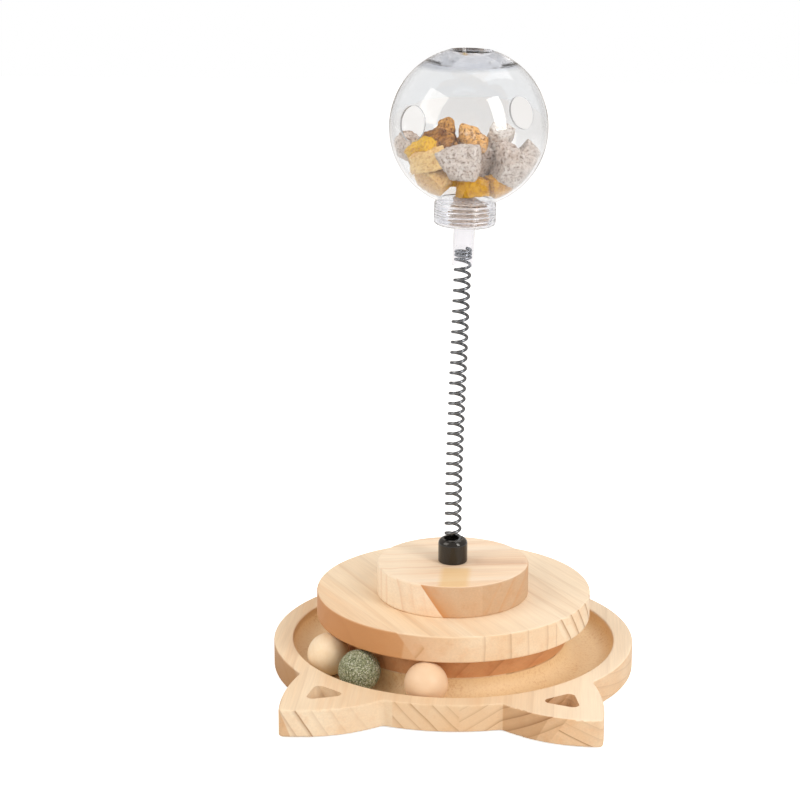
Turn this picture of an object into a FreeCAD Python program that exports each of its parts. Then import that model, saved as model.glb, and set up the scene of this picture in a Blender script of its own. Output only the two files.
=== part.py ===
"""Wooden cat toy tower with a treat ball: one STEP file per piece.

Millimetres. +Z is up and the ears point along -Y. The origin is on the turntable's
axis, on the plane that the object stands on.
"""
import FreeCAD, Part
import math
import os

from FreeCAD import Vector, Rotation, Placement

# Base board with the cat head outline
ring_r = 120.0              # outer radius of the round board
board_t = 18.0
pad_t = 1.0                 # anti slip pads under the board
pad_r = 9.0
pad_inset = 22.0            # from the round board's rim to the middle of a pad
pad_count = 4
ear_reach = 48.4            # from the ring to the tip of an ear
ear_tip_angle = 36.43       # from -Y
ear_front_angle = 18.0      # where the front edge of an ear leaves the ring, from -Y
ear_side_angle = 51.5       # where the side edge of an ear leaves the ring, from -Y
ear_front_bulge = 6.8
ear_side_bulge = 3.2
ear_tip_round = 3.0
ear_corner_round = 4.0
edge_round = 1.2            # softly broken edges of the wooden pieces
ear_hole_corners = [(3.7, 28.74), (3.3, 41.38), (26.7, 36.13)]  # beyond the ring, and from -Y
ear_hole_round = 4.0

# Ring track and its balls
ring_wall = 13.0            # between the track and the round board's rim
track_floor = 5.5           # wood left under the track
track_cove_r = 10.0         # rounded corners along the track's floor
wood_ball_r = 14.0
catnip_ball_less = 0.2      # how much smaller the catnip ball's radius is
track_seat_gap = 0.3        # between a ball and the track's floor
track_side_gap = 1.8        # between a ball and each wall of the track
ball_top_gap = 0.4          # between a ball and the turning disc over it
wood_left_angle = -59.6     # round the track from -Y, positive towards +X
catnip_angle = -37.9
wood_right_angle = -7.4

# Riser, turntable and puck
thrust_gap = 0.6            # between the riser and the turning disc
disc_overhang = 15.6        # how far the disc reaches out over the track
disc_t = 17.8
puck_r = 50.0
puck_t = 21.6
mast_y = -9.0               # the puck and the mast stand a little in front of the pivot

# Pivot bolt with its washers, bush and lock nut
bolt_r = 4.0
bolt_head_r = 7.5
bolt_head_h = 5.3
washer_t = 1.6
washer_r = 9.0
nut_r = 7.5
nut_h = 8.0
bush_r = 6.0
bush_gap = 0.05             # running clearance between the bolt and the bush
hole_gap = 0.2              # between a bolt and the wood round it
end_gap = 0.2               # beyond the ends of bolts and screws
cut_over = 1.0              # how far a cutting shape runs past the face it opens
counterbore_gap = 2.0       # room for a socket round the bolt's head and nut
pocket_cover = 3.0          # how far the middle pad reaches past the head's pocket
pocket_room = 1.0           # above the bolt's end, under the puck
nut_play = 0.3              # lets the turntable turn under its nut
thrust_washer_r = 22.0
thrust_seat = 0.4           # how deep the thrust washer sits in the riser
thrust_play = 0.1
bolt_end = 1.5              # bolt that shows above the nut
press_gap = 0.05            # between pieces that are pressed or screwed together

# Wood screws
screw_r = 2.0
screw_head_r = 4.0
screw_land = 0.3            # straight edge of a countersunk head
drive_r = 1.4               # round recess for the driver
drive_depth = 1.3
screw_count = 3
riser_screw_circle_r = 52.0
riser_screw_l = 28.0
puck_screw_circle_r = 36.0
puck_screw_l = 32.0

# Mast socket and its screw
socket_lip = 1.5            # flat ring round the socket's mouth
socket_shoulder = 2.2       # from the lip out to the side
socket_h = 16.0
socket_floor = 2.5
socket_shoulder_h = 3.5
socket_shoulder_round = 0.65  # 0.5 for a flat slope, 0.71 for a full quarter round
socket_foot_round = 1.0
socket_screw_r = 1.75
socket_screw_gap = 0.6      # between the screw's head and the spring round it
socket_screw_head_h = 2.2
socket_screw_head_edge = 0.6
socket_screw_l = 19.0

# Mast spring
wire_r = 1.0
coil_r = 4.75               # to the middle of the wire
spring_seat_gap = 0.3
dead_pitch = 2.2            # close wound turns inside the socket and the spigot
dead_turns_bottom = 3
dead_turns_top = 2.5
free_turns = 28.5
free_pitch = 6.82
spring_start = 70.0         # where the wire's lower end lies, in degrees from +X
mast_lean = 2.0             # degrees that the spring leans towards +X above its bow
mast_bow_l = 74.0           # length of spring above the socket that bows to that lean

# Clear screw cap with its spigot
spring_gap = 0.2            # between the spring and the bores that hold it
spigot_wall = 0.9
spigot_l = 26.5
spigot_grip = 10.5          # length of spring inside the spigot
cap_r = 19.7
cap_h = 13.9
cap_wall = 1.3
cap_floor = 1.6
cap_corner_r = 2.2
thread_depth = 0.7
thread_h = 1.0
thread_pitch = 3.2
thread_count = 3
thread_slope = 0.25         # height that each flank of a ridge takes up
thread_gap = 0.25

# Clear treat ball
ball_r = 50.0
ball_wall = 1.5
neck_wall = 1.7
neck_gap = 0.35             # between the end of the neck and the floor of the cap
neck_end_round = 1.0
neck_thread_drop = 1.6      # the neck's ridges lie between those of the cap
ball_cap_gap = 1.94         # between the cap's rim and the ball over it
leak_hole_r = 11.0
leak_hole_turn = -43.0      # round the ball from -Y, the other hole is opposite
leak_hole_rise = 7.0        # degrees above the ball's equator
dimple_r = 14.0             # dimple in the top of the ball
dimple_floor_r = 12.0
dimple_depth = 5.0
crown_r = 28.0              # flat ceiling under the thick crown of the ball

# Treats inside the ball, laid from the bottom up: centre from the middle of the ball and
# lengths of the three sides, both in ball radii, and turns about Z, Y and X in degrees
treat_gap = 0.3
treat_bevel_share = 0.16    # share of a treat's shortest side that its edges lose
kibble_bevel_share = 0.28
golden_treats = [
    ((-0.38, -0.33, -0.60), (0.42, 0.28, 0.27), (-32.0, 12.0, 20.0)),
    ((-0.46, -0.46, -0.36), (0.40, 0.24, 0.24), (-28.0, -10.0, 15.0)),
    ((-0.42, 0.26, -0.55), (0.34, 0.30, 0.26), (40.0, 8.0, 14.0)),
    ((0.34, 0.308, -0.68), (0.33, 0.29, 0.25), (25.0, -16.0, 9.0)),
]
yellow_treats = [
    ((0.10, -0.28, -0.68), (0.40, 0.30, 0.24), (12.0, 6.0, 8.0)),
    ((-0.55, -0.33, -0.245), (0.36, 0.26, 0.20), (-35.0, -14.0, 18.0)),
    ((0.39, -0.27, -0.66), (0.24, 0.26, 0.26), (30.0, -14.0, 6.0)),
    ((-0.10, 0.30, -0.70), (0.40, 0.30, 0.24), (50.0, 5.0, -8.0)),
]
meaty_treats = [
    ((-0.04, -0.46, -0.36), (0.40, 0.34, 0.38), (-8.0, -12.0, 10.0)),
    ((0.56, -0.27, -0.48), (0.36, 0.32, 0.32), (35.0, 14.0, 22.0)),
    ((-0.62, 0.02, -0.38), (0.30, 0.30, 0.26), (14.0, -20.0, 10.0)),
    ((-0.77, -0.10, -0.255), (0.28, 0.28, 0.26), (-16.0, 22.0, 12.0)),
    ((0.76, -0.10, -0.32), (0.26, 0.28, 0.27), (20.0, 38.0, 12.0)),
    ((0.51, -0.27, -0.26), (0.25, 0.22, 0.20), (48.0, 12.0, 16.0)),
    ((0.39, -0.08, -0.09), (0.28, 0.26, 0.28), (-20.0, 18.0, 24.0)),
    ((0.16, -0.08, -0.38), (0.34, 0.32, 0.34), (20.0, 10.0, 5.0)),
    ((0.39, 0.29, -0.416), (0.34, 0.32, 0.30), (-30.0, 10.0, 20.0)),
]
brown_treats = [
    ((-0.38, -0.27, -0.13), (0.32, 0.24, 0.22), (10.0, 24.0, -16.0)),
    ((-0.27, -0.12, -0.06), (0.27, 0.25, 0.30), (25.0, -12.0, 10.0)),
    ((0.07, -0.18, -0.11), (0.36, 0.26, 0.20), (-14.0, 10.0, 14.0)),
    ((-0.22, 0.28, -0.34), (0.30, 0.28, 0.24), (-25.0, 12.0, 8.0)),
    ((0.06, 0.04, -1.07), (0.44, 0.38, 0.28), (15.0, 6.0, -5.0)),
]

# Radii of the track and of what stands in it
track_outer_r = ring_r - ring_wall
riser_r = track_outer_r - 2 * (wood_ball_r + track_side_gap)
track_middle_r = (track_outer_r + riser_r) / 2.0
catnip_ball_r = wood_ball_r - catnip_ball_less
disc_r = riser_r + disc_overhang

# Heights of the stack above the floor
board_z = pad_t
track_z = board_z + track_floor
riser_z = board_z + board_t
disc_z = track_z + track_seat_gap + 2 * wood_ball_r + ball_top_gap
riser_t = disc_z - thrust_gap - riser_z
puck_z = disc_z + disc_t
socket_z = puck_z + puck_t
spring_z = socket_z + socket_floor + spring_seat_gap + wire_r
socket_top_z = socket_z + socket_h

# Lengths along the mast, measured from its foot coil
dead_bottom_l = dead_turns_bottom * dead_pitch
free_l = free_turns * free_pitch
dead_top_l = dead_turns_top * dead_pitch
spring_l = dead_bottom_l + free_l + dead_top_l
bow_start = socket_top_z - spring_z
spring_bore_r = coil_r + wire_r + spring_gap
socket_mouth_r = spring_bore_r + socket_lip
socket_r = socket_mouth_r + socket_shoulder
socket_screw_head_r = coil_r - wire_r - socket_screw_gap
spigot_r = spring_bore_r + spigot_wall
cap_bore_r = cap_r - cap_wall
cap_crest_r = cap_bore_r - thread_depth
neck_crest_r = cap_bore_r - thread_gap
neck_r = cap_crest_r - thread_gap
neck_bore_r = neck_r - neck_wall
ball_above_cap = cap_h + ball_cap_gap + math.sqrt(ball_r ** 2 - cap_r ** 2)

same_place = 0.01           # points closer than this count as one
parts = {}


def cylinder(radius, height, x=0.0, y=0.0, z=0.0):
    return Part.makeCylinder(radius, height, Vector(x, y, z))


def polar(radius, angle, z=0.0):
    """Point at a radius, turned from -Y by an angle in degrees, positive towards +X."""
    turn = math.radians(angle)
    return Vector(radius * math.sin(turn), -radius * math.cos(turn), z)


def bulged_arc(start, end, bulge):
    """Arc whose middle stands off its chord by bulge, to the right of start to end."""
    chord = end - start
    side = Vector(chord.y, -chord.x, 0.0).normalize()
    return Part.Arc(start, (start + end) * 0.5 + side * bulge, end).toShape()


def turned(profile):
    """Solid of revolution about Z from a closed list of (radius, z) points or edges."""
    edges = [item for item in profile if isinstance(item, Part.Shape)]
    if not edges:
        points = [Vector(r, 0.0, z) for r, z in profile]
        edges = Part.makePolygon(points + points[:1]).Edges
    face = Part.Face(Part.Wire(edges))
    return face.revolve(Vector(0, 0, 0), Vector(0, 0, 1), 360.0)


def line(a, b):
    return Part.LineSegment(Vector(a[0], 0.0, a[1]), Vector(b[0], 0.0, b[1])).toShape()


def arc(a, middle, b):
    points = [Vector(r, 0.0, z) for r, z in (a, middle, b)]
    return Part.Arc(*points).toShape()


def corner(a, square, b):
    """Quarter round from a to b, where square is the corner that it takes off."""
    centre = (a[0] + b[0] - square[0], a[1] + b[1] - square[1])
    radius = math.dist(centre, a)
    reach = radius / math.dist(centre, square)
    middle = tuple(c + (s - c) * reach for c, s in zip(centre, square))
    return arc(a, middle, b)


def level_edges(solid, z):
    """Edges of a solid that lie in the plane at z."""
    picked = []
    for edge in solid.Edges:
        box = edge.BoundBox
        level = abs(box.ZMin - z) < same_place and abs(box.ZMax - z) < same_place
        if level:
            picked.append(edge)
    return picked


def wood_screw(length):
    """Countersunk screw with its head's top at the origin and its point down -Z."""
    cone_end = -screw_land - (screw_head_r - screw_r)
    body = turned([(0, 0), (screw_head_r, 0), (screw_head_r, -screw_land), (screw_r, cone_end),
                   (screw_r, -length + 2 * screw_r), (0, -length)])
    return body.cut(cylinder(drive_r, drive_depth, z=-drive_depth))


def screw_hole(length):
    """Space that a countersunk screw needs in the wood round it."""
    cone_end = -screw_land - (screw_head_r - screw_r)
    head_reach = screw_head_r + press_gap
    reach = screw_r + press_gap
    return turned([(0, cut_over), (head_reach, cut_over), (head_reach, -screw_land),
                   (reach, cone_end), (reach, -length + 2 * screw_r), (0, -length - press_gap)])


def around(shape, count, circle_r, start_angle, x=0.0, y=0.0, z=0.0):
    """Copies of a shape on a circle about (x, y), with their origins at height z."""
    copies = []
    for index in range(count):
        spot = polar(circle_r, start_angle + 360.0 * index / count, z)
        copy = shape.copy()
        copy.Placement = Placement(spot + Vector(x, y, 0.0), Rotation()) * copy.Placement
        copies.append(copy)
    return copies


def flipped(shape):
    """The shape turned upside down about the X axis."""
    copy = shape.copy()
    copy.Placement = Placement(Vector(), Rotation(Vector(1, 0, 0), 180.0)) * copy.Placement
    return copy


def hexagon(radius, height, z):
    points = [Vector(radius * math.cos(math.radians(60 * k)),
                     radius * math.sin(math.radians(60 * k)), z) for k in range(7)]
    return Part.Face(Part.makePolygon(points)).extrude(Vector(0, 0, height))


def ear_outline():
    """Cat head outline: a ring with two ears that point along -Y."""
    front_right = polar(ring_r, ear_front_angle)
    side_right = polar(ring_r, ear_side_angle)
    tip_right = polar(ring_r + ear_reach, ear_tip_angle)
    mirror = [Vector(-p.x, p.y, 0) for p in (front_right, tip_right, side_right)]
    front_left, tip_left, side_left = mirror
    return Part.Wire([
        Part.Arc(front_left, Vector(0, -ring_r, 0), front_right).toShape(),
        bulged_arc(front_right, tip_right, ear_front_bulge),
        bulged_arc(tip_right, side_right, ear_side_bulge),
        Part.Arc(side_right, Vector(0, ring_r, 0), side_left).toShape(),
        bulged_arc(side_left, tip_left, ear_side_bulge),
        bulged_arc(tip_left, front_left, ear_front_bulge),
    ])


def upright_edges(solid, points):
    """Vertical edges of a solid that stand on any of the given points."""
    picked = []
    for edge in solid.Edges:
        ends = [vertex.Point for vertex in edge.Vertexes]
        for point in points:
            if all(math.dist(end[:2], point[:2]) < same_place for end in ends):
                picked.append(edge)
    return picked


def ear_hole(mirror):
    """Rounded triangle through an ear."""
    points = [polar(ring_r + beyond, mirror * angle, board_z - cut_over)
              for beyond, angle in ear_hole_corners]
    face = Part.Face(Part.makePolygon(points + points[:1]))
    prism = face.extrude(Vector(0, 0, board_t + 2 * cut_over))
    uprights = upright_edges(prism, points)
    return prism.makeFillet(ear_hole_round, uprights)


def track_cut():
    """Ring track: upright walls, coved along the floor on both sides."""
    top = riser_z + cut_over
    inner, outer, cove = riser_r, track_outer_r, track_cove_r
    return turned([
        line((inner, top), (inner, track_z + cove)),
        corner((inner, track_z + cove), (inner, track_z), (inner + cove, track_z)),
        line((inner + cove, track_z), (outer - cove, track_z)),
        corner((outer - cove, track_z), (outer, track_z), (outer, track_z + cove)),
        line((outer, track_z + cove), (outer, top)),
        line((outer, top), (inner, top)),
    ])


# Base board
board = Part.Face(ear_outline()).extrude(Vector(0, 0, board_t))
board.translate(Vector(0, 0, board_z))
tips = [polar(ring_r + ear_reach, side * ear_tip_angle) for side in (-1, 1)]
board = board.makeFillet(ear_tip_round, upright_edges(board, tips))
joins = [polar(ring_r, side * angle)
         for side in (-1, 1) for angle in (ear_front_angle, ear_side_angle)]
board = board.makeFillet(ear_corner_round, upright_edges(board, joins))
board = board.makeFillet(edge_round, level_edges(board, riser_z) + level_edges(board, board_z))
for side in (-1, 1):
    board = board.cut(ear_hole(side))
board = board.cut(track_cut())
rim = [edge for edge in level_edges(board, riser_z)
       if abs(edge.BoundBox.YMax - track_outer_r) < same_place]
board = board.makeFillet(edge_round, rim)

head_pocket_r = bolt_head_r + counterbore_gap
head_pocket_top = board_z + end_gap + bolt_head_h + washer_t
board = board.cut(cylinder(head_pocket_r, head_pocket_top - board_z + cut_over,
                           z=board_z - cut_over))
board = board.cut(cylinder(bolt_r + hole_gap, board_t + 2 * cut_over, z=board_z - cut_over))
riser_screw = flipped(wood_screw(riser_screw_l))
riser_screw_space = flipped(screw_hole(riser_screw_l))
riser_screw_z = board_z + end_gap
for space in around(riser_screw_space, screw_count, riser_screw_circle_r, 0.0, z=riser_screw_z):
    board = board.cut(space)
parts["base_board"] = board

# Anti slip pads, the middle one closes the bolt's pocket
pads = around(cylinder(pad_r, pad_t), pad_count, ring_r - pad_inset, 45.0)
pads.append(cylinder(head_pocket_r + pocket_cover, pad_t))
parts["anti_slip_pads"] = Part.makeCompound(pads)

# Riser, glued and screwed on the middle of the board
riser = cylinder(riser_r, riser_t, z=riser_z)
riser = riser.makeFillet(edge_round / 2.0, level_edges(riser, riser_z + riser_t))
riser = riser.cut(cylinder(bolt_r + hole_gap, riser_t + 2 * cut_over, z=riser_z - cut_over))
riser = riser.cut(cylinder(thrust_washer_r + press_gap, thrust_seat + cut_over,
                           z=riser_z + riser_t - thrust_seat))
for space in around(riser_screw_space, screw_count, riser_screw_circle_r, 0.0, z=riser_screw_z):
    riser = riser.cut(space)
parts["riser"] = riser
parts["riser_screws"] = Part.makeCompound(
    around(riser_screw, screw_count, riser_screw_circle_r, 0.0, z=riser_screw_z))

# Thrust washer that the turning disc runs on
thrust_t = thrust_seat + thrust_gap - thrust_play
thrust_z = riser_z + riser_t - thrust_seat
thrust = cylinder(thrust_washer_r, thrust_t, z=thrust_z)
parts["thrust_washer"] = thrust.cut(
    cylinder(bolt_r + hole_gap, thrust_t + 2 * cut_over, z=thrust_z - cut_over))

# Pivot bolt, head washer, nut washer and lock nut
nut_floor_z = puck_z - pocket_room - bolt_end - nut_h - washer_t - nut_play
nut_washer_z = nut_floor_z + nut_play
nut_z = nut_washer_z + washer_t
bolt_head_z = head_pocket_top - washer_t - bolt_head_h
bolt_top = nut_z + nut_h + bolt_end
bolt = hexagon(bolt_head_r, bolt_head_h, bolt_head_z)
bolt = bolt.fuse(cylinder(bolt_r, bolt_top - bolt_head_z, z=bolt_head_z))
parts["pivot_bolt"] = bolt.removeSplitter()


def washer(z):
    ring = cylinder(washer_r, washer_t, z=z)
    return ring.cut(cylinder(bolt_r + press_gap, washer_t + 2 * cut_over, z=z - cut_over))


parts["bolt_washer"] = washer(head_pocket_top - washer_t)
parts["nut_washer"] = washer(nut_washer_z)
nut = hexagon(nut_r, nut_h, nut_z)
parts["lock_nut"] = nut.cut(
    cylinder(bolt_r + press_gap, nut_h + 2 * cut_over, z=nut_z - cut_over))

# Turning disc with its bush
disc = cylinder(disc_r, disc_t, z=disc_z)
disc = disc.makeFillet(edge_round, level_edges(disc, puck_z) + level_edges(disc, disc_z))
disc = disc.cut(cylinder(bush_r + press_gap, disc_t + 2 * cut_over, z=disc_z - cut_over))
nut_pocket_r = washer_r + counterbore_gap
disc = disc.cut(cylinder(nut_pocket_r, puck_z - nut_floor_z + cut_over, z=nut_floor_z))
puck_screw = flipped(wood_screw(puck_screw_l))
puck_screw_space = flipped(screw_hole(puck_screw_l))
puck_screw_z = disc_z + end_gap
puck_screw_spots = dict(count=screw_count, circle_r=puck_screw_circle_r,
                        start_angle=60.0, y=mast_y, z=puck_screw_z)
for space in around(puck_screw_space, **puck_screw_spots):
    disc = disc.cut(space)
parts["turntable_disc"] = disc
bush = cylinder(bush_r, nut_floor_z - disc_z, z=disc_z)
parts["pivot_bush"] = bush.cut(
    cylinder(bolt_r + bush_gap, disc_t + 2 * cut_over, z=disc_z - cut_over))

# Puck that carries the mast
puck = cylinder(puck_r, puck_t, y=mast_y, z=puck_z)
puck = puck.makeFillet(edge_round, level_edges(puck, socket_z) + level_edges(puck, puck_z))
for space in around(puck_screw_space, **puck_screw_spots):
    puck = puck.cut(space)
socket_screw_z = socket_z + socket_floor
socket_screw_hole_l = socket_screw_l - socket_floor + end_gap
puck = puck.cut(cylinder(socket_screw_r + press_gap, socket_screw_hole_l + cut_over,
                         y=mast_y, z=socket_z - socket_screw_hole_l))
parts["puck"] = puck
parts["puck_screws"] = Part.makeCompound(around(puck_screw, **puck_screw_spots))

# Mast socket, a moulded cup with a rounded shoulder
shoulder_z = socket_h - socket_shoulder_h
shoulder_middle = (socket_mouth_r + socket_shoulder_round * (socket_r - socket_mouth_r),
                   shoulder_z + socket_shoulder_round * socket_shoulder_h)
foot = socket_foot_round
socket = turned([
    line((socket_screw_r + hole_gap, 0), (socket_r - foot, 0)),
    corner((socket_r - foot, 0), (socket_r, 0), (socket_r, foot)),
    line((socket_r, foot), (socket_r, shoulder_z)),
    arc((socket_r, shoulder_z), shoulder_middle, (socket_mouth_r, socket_h)),
    line((socket_mouth_r, socket_h), (spring_bore_r, socket_h)),
    line((spring_bore_r, socket_h), (spring_bore_r, socket_floor)),
    line((spring_bore_r, socket_floor), (socket_screw_r + hole_gap, socket_floor)),
    line((socket_screw_r + hole_gap, socket_floor), (socket_screw_r + hole_gap, 0)),
])
socket.translate(Vector(0, mast_y, socket_z))
parts["mast_socket"] = socket
pan_r, pan_edge = socket_screw_head_r, socket_screw_head_edge
pan_slope_z = (pan_edge + socket_screw_head_h) / 2.0
socket_screw = turned([(0, -socket_screw_l), (socket_screw_r, -socket_screw_l + 2 * socket_screw_r),
                       (socket_screw_r, 0), (pan_r, 0), (pan_r, pan_edge),
                       (0.8 * pan_r, pan_slope_z), (0.4 * pan_r, socket_screw_head_h),
                       (0, socket_screw_head_h)])
socket_screw.translate(Vector(0, mast_y, socket_screw_z))
parts["socket_screw"] = socket_screw


def mast_angle(length):
    """Lean of the mast's axis in radians, at a length along it from the foot coil."""
    share = min(max((length - bow_start) / mast_bow_l, 0.0), 1.0)
    return math.radians(mast_lean) * share


def mast_point(length):
    """Point on the mast's axis: upright, then a circular bow, then straight again."""
    lean = math.radians(mast_lean)
    bow_r = mast_bow_l / lean
    angle = mast_angle(length)
    straight = min(length, bow_start)
    beyond = max(length - bow_start - mast_bow_l, 0.0)
    x = bow_r * (1.0 - math.cos(angle)) + beyond * math.sin(angle)
    z = straight + bow_r * math.sin(angle) + beyond * math.cos(angle)
    return Vector(x, mast_y, spring_z + z)


def spring_length_at(turns):
    """Length along the mast that a number of turns has climbed."""
    bottom = min(turns, dead_turns_bottom) * dead_pitch
    free = min(max(turns - dead_turns_bottom, 0.0), free_turns) * free_pitch
    top = max(turns - dead_turns_bottom - free_turns, 0.0) * dead_pitch
    return bottom + free + top


def wire_point(turns):
    """Middle of the wire after a number of right-handed turns."""
    length = spring_length_at(turns)
    turn = 2.0 * math.pi * turns + math.radians(spring_start)
    lean = mast_angle(length)
    across = Vector(math.cos(lean), 0.0, -math.sin(lean))
    return (mast_point(length) + across * (coil_r * math.cos(turn))
            + Vector(0, 1, 0) * (coil_r * math.sin(turn)))


def wire_way(turns):
    """Direction of the wire at a number of turns, as a unit vector."""
    step = 0.002
    return (wire_point(turns + step) - wire_point(turns - step)).normalize()


def tangent_arc(start, way, end):
    """Arc from start along way to end."""
    chord = end - start
    angle = way.getAngle(chord)
    side = (way - chord * (way.dot(chord) / chord.dot(chord))).normalize()
    middle = (start + end) * 0.5 + side * (0.5 * chord.Length * math.tan(angle / 2.0))
    return Part.Arc(start, middle, end).toShape()


def biarc(start, way, end, end_way):
    """Two arcs that leave start along way and reach end along end_way."""
    span = end - start
    both = way + end_way
    square = 2.0 * (1.0 - way.dot(end_way))
    half = span.dot(both)
    reach = (math.sqrt(half * half + square * span.dot(span)) - half) / square
    join = (start + way * reach + end - end_way * reach) * 0.5
    return [tangent_arc(start, way, join), tangent_arc(end, -end_way, join)]


def spring_solid():
    """One wire wound right-handed: close turns, open turns, close turns."""
    half_turns = round(2 * (dead_turns_bottom + free_turns + dead_turns_top))
    edges = []
    for index in range(half_turns):
        here, there = index / 2.0, (index + 1) / 2.0
        edges += biarc(wire_point(here), wire_way(here), wire_point(there), wire_way(there))
    spine = Part.Wire(Part.__sortEdges__(edges))
    profile = Part.Wire(Part.makeCircle(wire_r, wire_point(0.0), wire_way(0.0)))
    return spine.makePipeShell([profile], True, False)


def least_gap():
    """Smallest space between two turns of the spring, measured on points."""
    steps = 24
    total = round((dead_turns_bottom + free_turns + dead_turns_top) * steps)
    points = [wire_point(index / steps) for index in range(total + 1)]
    least = min((points[a] - points[b]).Length
                for a in range(total + 1)
                for b in range(a + steps // 2, min(a + 2 * steps, total + 1)))
    return least - 2.0 * wire_r


spring = spring_solid()
parts["mast_spring"] = spring
print("spring least gap %.2f mm, volume %.0f mm3" % (least_gap(), spring.Volume))

# The head of the mast is built upright with its spigot's mouth at the origin
mouth = spring_l - spigot_grip
head_place = Placement(mast_point(mouth), Rotation(Vector(0, 1, 0), mast_lean))
cap_z = spigot_l
cap_floor_z = cap_z + cap_floor
neck_end_z = cap_floor_z + neck_gap
ball_z = cap_z + ball_above_cap


def thread_rings(root_r, crest_r, first_z):
    """Round thread ridges between a root and a crest radius, one above the other."""
    root = root_r + math.copysign(press_gap, root_r - crest_r)
    rings = []
    for index in range(thread_count):
        z = first_z + index * thread_pitch
        rings.append(turned([(root, z), (root, z + thread_h),
                             (crest_r, z + thread_h - thread_slope),
                             (crest_r, z + thread_slope)]))
    return rings


def screw_cap():
    """Clear cap: a tube for the spring under a threaded cup for the ball's neck."""
    top_z = cap_z + cap_h
    inner_corner_r = cap_corner_r - cap_floor
    root = spigot_r + edge_round
    body = turned([
        line((spring_bore_r, 0), (spigot_r, 0)),
        line((spigot_r, 0), (spigot_r, cap_z - edge_round)),
        corner((spigot_r, cap_z - edge_round), (spigot_r, cap_z), (root, cap_z)),
        line((root, cap_z), (cap_r - cap_corner_r, cap_z)),
        corner((cap_r - cap_corner_r, cap_z), (cap_r, cap_z), (cap_r, cap_z + cap_corner_r)),
        line((cap_r, cap_z + cap_corner_r), (cap_r, top_z)),
        line((cap_r, top_z), (cap_bore_r, top_z)),
        line((cap_bore_r, top_z), (cap_bore_r, cap_z + cap_corner_r)),
        corner((cap_bore_r, cap_z + cap_corner_r), (cap_bore_r, cap_floor_z),
               (cap_bore_r - inner_corner_r, cap_floor_z)),
        line((cap_bore_r - inner_corner_r, cap_floor_z), (0, cap_floor_z)),
        line((0, cap_floor_z), (0, cap_z)),
        line((0, cap_z), (spring_bore_r, cap_z)),
        line((spring_bore_r, cap_z), (spring_bore_r, 0)),
    ])
    first_z = top_z - thread_h - (thread_count - 1) * thread_pitch
    for ring in thread_rings(cap_bore_r, cap_crest_r, first_z):
        body = body.fuse(ring)
    return body


def treat_ball():
    """Clear ball with a threaded neck below, a thick dimpled crown and two leak holes."""
    inner_r = ball_r - ball_wall
    neck_top_z = ball_z - math.sqrt(ball_r ** 2 - neck_r ** 2)
    bore_top_z = ball_z - math.sqrt(inner_r ** 2 - neck_bore_r ** 2)
    rim_z = ball_z + math.sqrt(ball_r ** 2 - dimple_r ** 2)
    ceiling_z = ball_z + math.sqrt(inner_r ** 2 - crown_r ** 2)
    body = turned([
        line((neck_bore_r, neck_end_z), (neck_r - neck_end_round, neck_end_z)),
        corner((neck_r - neck_end_round, neck_end_z), (neck_r, neck_end_z),
               (neck_r, neck_end_z + neck_end_round)),
        line((neck_r, neck_end_z + neck_end_round), (neck_r, neck_top_z)),
        arc((neck_r, neck_top_z), (ball_r, ball_z), (dimple_r, rim_z)),
        line((dimple_r, rim_z), (dimple_floor_r, rim_z - dimple_depth)),
        line((dimple_floor_r, rim_z - dimple_depth), (0, rim_z - dimple_depth)),
        line((0, rim_z - dimple_depth), (0, ceiling_z)),
        line((0, ceiling_z), (crown_r, ceiling_z)),
        arc((crown_r, ceiling_z), (inner_r, ball_z), (neck_bore_r, bore_top_z)),
        line((neck_bore_r, bore_top_z), (neck_bore_r, neck_end_z)),
    ])
    top_z = cap_z + cap_h - neck_thread_drop
    first_z = top_z - thread_h - (thread_count - 1) * thread_pitch
    for ring in thread_rings(neck_r, neck_crest_r, first_z):
        body = body.fuse(ring)
    for way in (leak_way(), -leak_way()):
        rise = Vector(way.x, way.y, abs(way.z))
        body = body.cut(
            Part.makeCylinder(leak_hole_r, ball_r + cut_over, Vector(0, 0, ball_z), rise))
    return body


def leak_way():
    """Direction of the front leak hole from the middle of the ball."""
    rise = math.radians(leak_hole_rise)
    flat = polar(math.cos(rise), leak_hole_turn)
    return Vector(flat.x, flat.y, math.sin(rise))


def treat_block(spec, bevel, grow=0.0):
    """One block of treat with bevelled edges, grown on every side by a gap."""
    centre, sides, turns = spec
    size = [side * ball_r + 2.0 * grow for side in sides]
    block = Part.makeBox(*size, Vector(*[-0.5 * side for side in size]))
    block = block.makeChamfer(bevel * ball_r * min(sides), block.Edges)
    spot = Vector(*centre) * ball_r + Vector(0, 0, ball_z)
    block.Placement = Placement(spot, Rotation(*turns))
    return block


def treat_groups(groups):
    """Treats as separate solids that keep a gap to each other and to the ball's wall."""
    room = Part.makeSphere(ball_r - ball_wall - treat_gap, Vector(0, 0, ball_z))
    floor_z = neck_end_z + treat_gap
    room = room.fuse(cylinder(neck_bore_r - treat_gap, ball_z - floor_z, z=floor_z))
    taken = []
    made = {}
    for name, (specs, bevel) in groups.items():
        solids = []
        for spec in specs:
            block = treat_block(spec, bevel).common(room)
            for other in taken:
                block = block.cut(other)
            solids.append(max(block.Solids, key=lambda solid: solid.Volume))
            taken.append(treat_block(spec, bevel, treat_gap))
        made[name] = Part.makeCompound(solids)
    return made


head = {"screw_cap": screw_cap(), "treat_ball": treat_ball()}
head.update(treat_groups({
    "meaty_treats": (meaty_treats, treat_bevel_share),
    "golden_treats": (golden_treats, treat_bevel_share),
    "yellow_treats": (yellow_treats, treat_bevel_share),
    "brown_treats": (brown_treats, kibble_bevel_share),
}))
for name, shape in head.items():
    shape.Placement = head_place.multiply(shape.Placement)
    parts[name] = shape


def track_ball(radius, angle):
    centre = polar(track_middle_r, angle, track_z + track_seat_gap + radius)
    return Part.makeSphere(radius, centre)


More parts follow.
